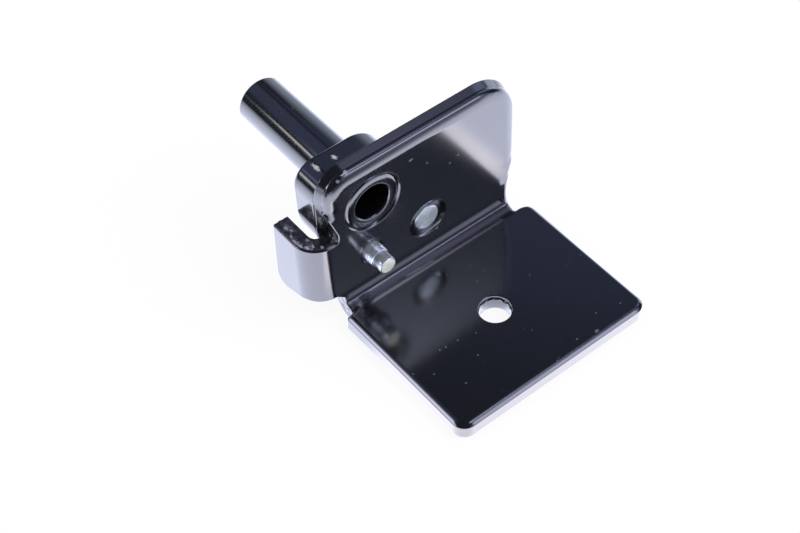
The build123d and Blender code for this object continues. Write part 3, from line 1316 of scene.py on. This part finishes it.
@dataclass
class Pin:
    """The hollow pin: a spread lip at its front, a thicker part in the block, and the long tube behind."""

    centre: Point = PIN
    radius: float = 4.5
    bore: float = 3.4
    seat: float = 5.2
    step: float = 9.15
    end: float = 31.7
    lip: float = 0.35
    shoulder_radius: float = 4.0
    rim_middle: Point = (5.0, 0.58)
    rim_round: float = 0.38
    rim_back: Point = (5.38, 0.95)
    seat_start: float = 1.1
    outer_round: float = 0.5
    bore_round: float = 0.2

    def build(self, paint: bpy.types.Material) -> bpy.types.Object:
        """Makes the pin.

        Args:
            paint: Its paint.

        Returns:
            The piece.
        """
        outer, inner = self.radius - self.outer_round, self.bore + self.bore_round
        section = [
            *arc((self.bore + self.lip, self.lip), self.lip, 180, 270, 5),
            *arc((3.85, self.shoulder_radius), self.shoulder_radius, -90, -72, 6),
            *arc(self.rim_middle, self.rim_round, -74, 0, 5),
            self.rim_back, (self.seat, self.seat_start), (self.seat, self.step), (self.radius, self.step),
            *arc((outer, self.end - self.outer_round), self.outer_round, 0, 90, 6),
            *arc((inner, self.end - self.bore_round), self.bore_round, 90, 180, 4),
        ]
        return Turned(self.centre, section, 128).piece("pin_tube", [paint])


@dataclass
class Rivet:
    """The flush rivet: a flat face with a faint ring at its rim, a shank, and a tail behind the block."""

    centre: Point = RIVET
    face: float = 0.25
    ring: tuple[Point, ...] = ((2.05, 0.25), (2.12, 0.28), (2.2, 0.24))
    rim_middle: Point = (2.2, 0.5)
    rim_round: float = 0.26
    shank: float = 2.45
    tail: tuple[Point, ...] = ((3.6, 9.0), (3.6, 9.5), (2.6, 10.0))

    def build(self, zinc: bpy.types.Material) -> bpy.types.Object:
        """Makes the rivet.

        Args:
            zinc: Its finish.

        Returns:
            The piece.
        """
        section = [
            (0, self.face), *self.ring, *arc(self.rim_middle, self.rim_round, -80, 0, 5),
            (self.shank, self.tail[0][1]), *self.tail, (0, self.tail[-1][1])]
        return Turned(self.centre, section, 72).piece("rivet_disc", [zinc])


@dataclass
class Stud:
    """The locating stud: a shank, a collar, three beads and a flat end with eased edges."""

    centre: Point = STUD
    back: float = 9.05
    shank: float = 1.75
    collar: tuple[Point, ...] = ((1.85, 0.35), (1.85, -0.8), (1.8, -0.9))
    beads: int = 3
    bead_foot: float = 1.58
    bead_rise: float = 0.27
    bead_width: float = 0.42
    bead_pitch: float = 0.44
    bead_cuts: int = 6
    neck: float = 0.08
    tip: tuple[Point, ...] = ((1.62, -4.15), (1.56, -4.32), (1.4, -4.4))

    def build(self, zinc: bpy.types.Material, face: bpy.types.Material) -> bpy.types.Object:
        """Makes the stud.

        Args:
            zinc: The zinc of its sides.
            face: The finish of its flat ends.

        Returns:
            The piece.
        """
        section = [(0, self.back), (self.shank, self.back), (self.shank, self.collar[0][1]), *self.collar]
        y = self.collar[-1][1]
        for _ in range(self.beads):
            for share in (k / self.bead_cuts for k in range(self.bead_cuts + 1)):
                radius = self.bead_foot + self.bead_rise * math.sin(math.pi * share)
                section.append((radius, y - self.bead_width * share))
            y -= self.bead_pitch
        section += [(self.tip[0][0], y - self.neck), *self.tip, (0, self.tip[-1][1])]
        slots = [1] + [0] * (len(section) - 3) + [1, 0]
        return Turned(self.centre, section, 72).piece("stud_body", [zinc, face], slots)


# The studio

@dataclass(frozen=True)
class Card:
    """A soft-edged patch of the room that the gloss sees, in degrees round from +y towards +x and up."""

    azimuth: float
    elevation: float
    half_width: float
    half_height: float
    soft_width: float
    soft_height: float
    colour: Colour

    def mask(self, azimuth: Value, elevation: Value) -> Value:
        """Where the card is.

        Args:
            azimuth: The direction's way round in degrees.
            elevation: Its way up in degrees.

        Returns:
            1 on the card, 0 off it, and a smooth step between.
        """
        aside = (azimuth - self.azimuth).math("WRAP", 180.0, -180.0).math("ABSOLUTE")
        above = (elevation - self.elevation).math("ABSOLUTE")
        return (aside.smooth(self.half_width + self.soft_width, self.half_width)
                * above.smooth(self.half_height + self.soft_height, self.half_height))


@dataclass
class Studio:
    """The camera, the pale floor and the soft light."""

    eye: Triple = (-0.1103029, -0.1259071, 0.2103140)
    right: Triple = (0.78349152, -0.62027649, -0.0373914)
    forward: Triple = (0.38076225, 0.526765, -0.7599597)
    lens: float = 70.795
    sensor: float = 36.0
    clip_start: float = 0.01
    floor_size: float = 1.6
    floor_drop: float = 0.05
    floor_white: float = 0.9
    white: Colour = (1.0, 1.0, 1.0)
    tent: Colour = (0.9, 0.9, 0.9)
    # The first six cards are behind and to the right, the next four to the left, the last four in front
    cards: tuple[Card, ...] = (
        Card(-15, 48, 22, 10, 12, 12, (0.085, 0.10, 0.19)),
        Card(45, 44, 18, 4, 10, 6, (0.055, 0.07, 0.14)),
        Card(52, 0, 10, 0, 8, 45, (0.48, 0.55, 0.72)),
        Card(76, 8, 10, 14, 6, 8, (0.98, 1.07, 1.34)),
        Card(90, 46, 10, 10, 10, 8, (0.36, 0.43, 0.68)),
        Card(102, 67, 22, 2, 12, 4, (0.27, 0.27, 0.44)),
        Card(-63, 22.5, 9, 4.5, 3, 3, (3.00, 3.00, 3.75)),
        Card(-47.5, 22, 3.5, 1.6, 3, 2.2, (2.1, 2.1, 2.0)),
        Card(-82, 3, 8, 3, 6, 8, (0.72, 0.80, 1.07)),
        Card(-50, 39.5, 8, 3.5, 4, 4, (0.36, 0.41, 0.62)),
        Card(152, 26, 7, 7, 4, 5, (1.35, 1.43, 1.80)),
        Card(150, 8, 14, 24, 8, 8, (0.27, 0.30, 0.50)),
        Card(146, 46, 14, 6, 8, 4, (0.12, 0.15, 0.26)),
        Card(143, 62, 9, 6, 6, 5.5, (2.5, 2.65, 3.4)),
    )
    ceiling: Colour = (0.029, 0.033, 0.051)
    floor_tint: Colour = (1.58, 1.66, 2.06)
    near_tint: Colour = (0.85, 0.70, 0.62)
    plate_half: Point = (0.0205, 0.0162)
    lamp_place: Triple = (0.25, -0.35, 0.5)
    lamp_power: float = 2.0
    lamp_size: float = 0.5

    def camera(self) -> None:
        """Puts the camera where the photograph was taken from."""
        data = bpy.data.cameras.new("camera")
        data.lens = self.lens
        data.sensor_width = self.sensor
        data.clip_start = self.clip_start
        camera = bpy.data.objects.new("camera", data)
        bpy.context.scene.collection.objects.link(camera)
        right, forward = Vector(self.right), Vector(self.forward)
        columns = (right, right.cross(forward), -forward, Vector(self.eye))
        camera.matrix_world = Matrix([[c[row] for c in columns] for row in range(3)] + [[0, 0, 0, 1]])
        bpy.context.scene.camera = camera

    def world(self) -> None:
        """White to the camera, plain and soft to matt surfaces, and a dim room with lights to the gloss."""
        world = bpy.data.worlds.new("light tent")
        world.use_nodes = True
        bpy.context.scene.world = world
        graph = Graph(world.node_tree)
        x, y, z = graph.axes(graph.value("ShaderNodeTexCoord", output="Generated"))
        azimuth = x.math("ARCTAN2", y) * DEGREES
        elevation = z.math("ARCSINE") * DEGREES
        seen = self.ceiling
        for card in self.cards:
            seen = graph.vector("ADD", seen, graph.scaled(card.colour, card.mask(azimuth, elevation)))
        rays = graph.node("ShaderNodeLightPath").outputs
        shown = graph.mix(rays["Is Glossy Ray"], rgba(self.tent), seen)
        shown = graph.mix(rays["Is Camera Ray"], shown, rgba(self.white))
        back = graph.value("ShaderNodeBackground", values={"Color": shown, "Strength": 1.0})
        graph.node("ShaderNodeOutputWorld", values={"Surface": back})

    def floor_glow(self, graph: Graph) -> Value:
        """What the gloss sees of the floor.

        Args:
            graph: The floor's node tree.

        Returns:
            The colour: bright near the hinge, dimmer far off and in front of it, dimmer behind it to the
                right, where the hinge's shadow on the floor is painted in,
            and brighter and warmer in a narrow band just beside the plate.
        """
        x, y, _ = graph.axes(graph.value("ShaderNodeNewGeometry", output="Position"))
        reach = (x * x + y * y).math("SQRT")
        azimuth = x.math("ARCTAN2", y) * DEGREES
        front = azimuth.math("ABSOLUTE").smooth(135.0, 165.0) * reach.smooth(0.025, 0.11, 0.0, 0.87)
        # Dimmer behind to the right: the hinge's painted shadow on the floor
        painted_shadow_behind = (azimuth - 40.0).math("ABSOLUTE").smooth(45.0, 15.0) * 0.28
        beside = (x.math("ABSOLUTE") - self.plate_half[0]).math(
            "MAXIMUM", y.math("ABSOLUTE") - self.plate_half[1])
        near = beside.smooth(0.007, 0.003) * beside.smooth(-0.003, -0.001) * y.smooth(0.012, 0.004)
        bright = reach.smooth(0.05, 0.25, 1.0, 0.55) * reach.smooth(0.3, 0.6, 1.0, 0.5)
        bright = bright * (1.0 - front) * (1.0 - painted_shadow_behind)
        return graph.scaled(graph.vector("ADD", self.floor_tint, graph.scaled(self.near_tint, near)), bright)

    def floor(self) -> None:
        """A plain white floor that keeps the object's shadow and shows white in the gloss."""
        half = self.floor_size / 2
        mesh = bpy.data.meshes.new("floor")
        corners = [(-half, -half, 0), (half, -half, 0), (half, half, 0), (-half, half, 0)]
        mesh.from_pydata(corners, [], [(0, 1, 2, 3)])
        floor = bpy.data.objects.new("floor", mesh)
        floor.location.z = -self.floor_drop * MM
        bpy.context.scene.collection.objects.link(floor)
        material, graph = new_material("white floor")
        glow = graph.value("ShaderNodeEmission", values={"Color": self.floor_glow(graph), "Strength": 1.0})
        white = graph.value("ShaderNodeEmission", values={"Color": rgba(self.white), "Strength": 1.0})
        matte = graph.value("ShaderNodeBsdfDiffuse", values={"Color": rgba(self.tent)})
        rays = graph.node("ShaderNodeLightPath").outputs
        shown = graph.mix_shaders(rays["Is Glossy Ray"], matte, glow)
        seen = graph.mix_shaders(self.floor_white, matte, white)
        final = graph.mix_shaders(rays["Is Camera Ray"], shown, seen)
        graph.node("ShaderNodeOutputMaterial", values={"Surface": final})
        mesh.materials.append(material)

    def lamp(self) -> None:
        """One large soft lamp from the front right, above."""
        data = bpy.data.lights.new("soft lamp", "AREA")
        data.energy = self.lamp_power
        data.size = self.lamp_size
        lamp = bpy.data.objects.new("soft lamp", data)
        lamp.location = self.lamp_place
        lamp.rotation_euler = (-lamp.location).to_track_quat("-Z", "Y").to_euler()
        lamp.visible_glossy = False
        bpy.context.scene.collection.objects.link(lamp)

    def build(self) -> None:
        """Sets up camera, world, floor and lamp."""
        self.camera()
        self.world()
        self.floor()
        self.lamp()
        bpy.context.scene.view_settings.view_transform = "Standard"


def main() -> None:
    """Builds the pieces in order, then the studio."""
    # The bracket's and pin's paint: dust and scuffs, and painted highlights on the flange's top left corner
    paint = GlossPaint(marks=PLATE_MARKS + FLANGE_MARKS + PAINTED_ROLL_HIGHLIGHTS).material()
    # The block's paint: dust specks and painted highlights along its top left rim
    block_paint_with_highlights = GlossPaint("black gloss paint with dust and painted highlights", marks=PAINTED_BLOCK_HIGHLIGHTS,
                         dust_and_highlight_colour=(0.55, 0.55, 0.58)).material()
    # The torn sides' paint: painted highlights on the hook's rim, and pale bluish patches that are partly
    # painted sheen
    torn = GlossPaint("black paint on torn steel with painted highlights", roughness=0.25, torn=0.45, marks=PAINTED_RIM_HIGHLIGHTS,
                      dust_and_highlight_colour=(0.34, 0.35, 0.48)).material()
    zinc = Zinc("zinc of the stud", (0.78, 0.83, 0.94), 0.8, roughness=0.2, grain_height=0.001).material()
    face = Zinc("cut end of the stud", (0.78, 0.79, 0.74), 0.15, roughness=0.4).material()
    disc = Zinc("zinc of the rivet", (0.80, 0.90, 1.0), 0.65, grain_height=0.008).material()
    seat(Bracket().build(paint, torn), "bracket", "black_paint")
    seat(Block().build(block_paint_with_highlights), "backing_block", "black_paint")
    seat(Pin().build(paint), "hinge_pin", "black_paint")
    seat(Rivet().build(disc), "rivet", "zinc")
    seat(Stud().build(zinc, face), "stud", "zinc")
    Studio().build()
    for name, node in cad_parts.items():
        node.data.materials.clear()
        node.data.materials.append(zinc if name in ("rivet", "stud") else paint)


if __name__ == "__main__":
    main()
